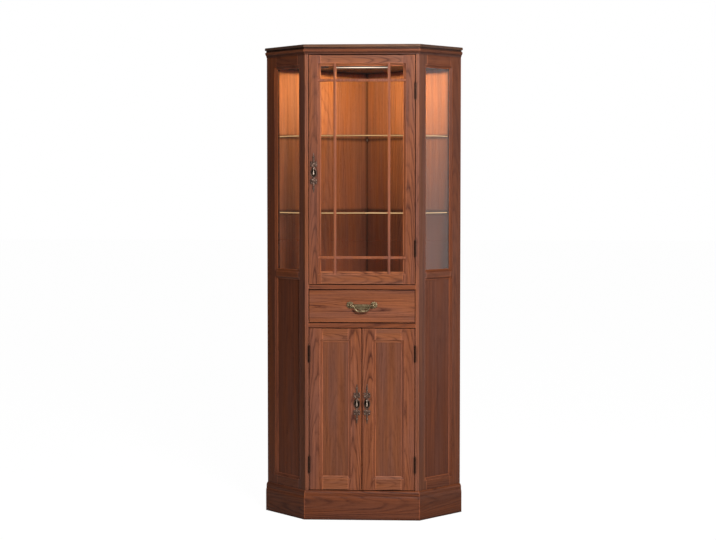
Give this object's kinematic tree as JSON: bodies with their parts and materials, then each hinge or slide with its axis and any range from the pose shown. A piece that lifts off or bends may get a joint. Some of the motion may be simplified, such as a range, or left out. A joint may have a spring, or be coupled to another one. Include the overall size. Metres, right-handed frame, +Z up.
{
  "type": "corner display and drinks cabinet",
  "caption": "Tall five-sided corner cabinet: a glazed display with a hinged glass door above, a drawer with a swinging bail, and a panelled cupboard below.",
  "frame": {"origin": "on the floor, at the middle of the overall width and depth, the drawer's handle included", "axes": "+Z up, +Y towards the corner of the room, so that the front faces -Y; +X to the right seen from the front"},
  "size_m": [0.8062, 0.5868, 1.9],
  "materials": {
    "case_wood": "stained open-grain wood, satin lacquer",
    "door_wood": "stained open-grain wood, satin lacquer",
    "inner_wood": "stained veneer, satin lacquer",
    "drawer_wood": "plain sanded wood",
    "clear_glass": "polished float glass",
    "aged_brass": "cast, antiqued, rubbed on the high spots",
    "pin_steel": "nickel plated",
    "catch_plastic": "moulded, matt",
    "lamp_metal": "satin anodised",
    "lamp_diffuser": "opal diffuser, lit"
  },
  "bodies": {
    "case": {"front_post_left": "case_wood", "front_post_right": "case_wood", "rear_stile_left": "case_wood", "rear_stile_right": "case_wood", "side_top_rails": "case_wood", "side_middle_rails": "case_wood", "side_bottom_rails": "case_wood", "side_panels": "case_wood", "top_board": "case_wood", "cornice_front": "case_wood", "cornice_sides": "case_wood", "plinth_front": "case_wood", "plinth_sides": "case_wood", "top_rail": "case_wood", "display_rail": "case_wood", "drawer_rail": "case_wood", "bottom_rail": "case_wood", "back_panel_left": "inner_wood", "back_panel_right": "inner_wood", "corner_batten": "inner_wood", "ceiling_board": "inner_wood", "display_floor": "inner_wood", "drawer_deck": "inner_wood", "cupboard_floor": "inner_wood", "cupboard_shelf": "inner_wood", "drawer_guides": "inner_wood", "side_panes": "clear_glass", "glass_shelf_lower": "clear_glass", "glass_shelf_upper": "clear_glass", "case_hinges": "aged_brass", "shelf_pins": "pin_steel", "door_catches": "catch_plastic", "lamp_housing": "lamp_metal", "lamp_lens": "lamp_diffuser"},
    "glass_door": {"glass_door_stiles": "door_wood", "glass_door_rails": "door_wood", "glass_door_pane": "clear_glass", "glazing_bars": "door_wood", "glass_door_hinges": "aged_brass", "glass_door_plate": "aged_brass"},
    "glass_door_pull": {"glass_door_drop": "aged_brass"},
    "left_door": {"left_door_stiles": "door_wood", "left_door_rails": "door_wood", "left_door_panel": "door_wood", "left_door_hinges": "aged_brass", "left_door_plate": "aged_brass"},
    "left_door_pull": {"left_door_drop": "aged_brass"},
    "right_door": {"right_door_stiles": "door_wood", "right_door_rails": "door_wood", "right_door_panel": "door_wood", "right_door_hinges": "aged_brass", "right_door_plate": "aged_brass"},
    "right_door_pull": {"right_door_drop": "aged_brass"},
    "drawer": {"drawer_front": "door_wood", "drawer_sides": "drawer_wood", "drawer_back": "drawer_wood", "drawer_bottom": "drawer_wood", "handle_plate": "aged_brass"},
    "bail": {"drawer_bail": "aged_brass"}
  },
  "joints": [
    {"name": "glass_door_hinge", "type": "hinge", "parent": "case", "child": "glass_door", "pos_m": [0.21216, -0.2744, 1.404], "axis": [0, 0, 1], "range_deg": [0, 120]},
    {"name": "right_door_hinge", "type": "hinge", "parent": "case", "child": "right_door", "pos_m": [0.21216, -0.2744, 0.447], "axis": [0, 0, 1], "range_deg": [0, 120]},
    {"name": "left_door_hinge", "type": "hinge", "parent": "case", "child": "left_door", "pos_m": [-0.21216, -0.2744, 0.447], "axis": [0, 0, -1], "range_deg": [0, 120]},
    {"name": "drawer_slide", "type": "slide", "parent": "case", "child": "drawer", "axis": [0, -1, 0], "range_m": [0, 0.22]},
    {"name": "bail_swing", "type": "hinge", "parent": "drawer", "child": "bail", "pos_m": [0, -0.2882, 0.8627], "axis": [-1, 0, 0], "range_deg": [0, 80]},
    {"name": "glass_door_pull_swing", "type": "hinge", "parent": "glass_door", "child": "glass_door_pull", "pos_m": [-0.19266, -0.2805, 1.407], "axis": [-1, 0, 0], "range_deg": [0, 80]},
    {"name": "left_door_pull_swing", "type": "hinge", "parent": "left_door", "child": "left_door_pull", "pos_m": [-0.0202, -0.2805, 0.483], "axis": [-1, 0, 0], "range_deg": [0, 80]},
    {"name": "right_door_pull_swing", "type": "hinge", "parent": "right_door", "child": "right_door_pull", "pos_m": [0.0202, -0.2805, 0.483], "axis": [-1, 0, 0], "range_deg": [0, 80]}
  ]
}
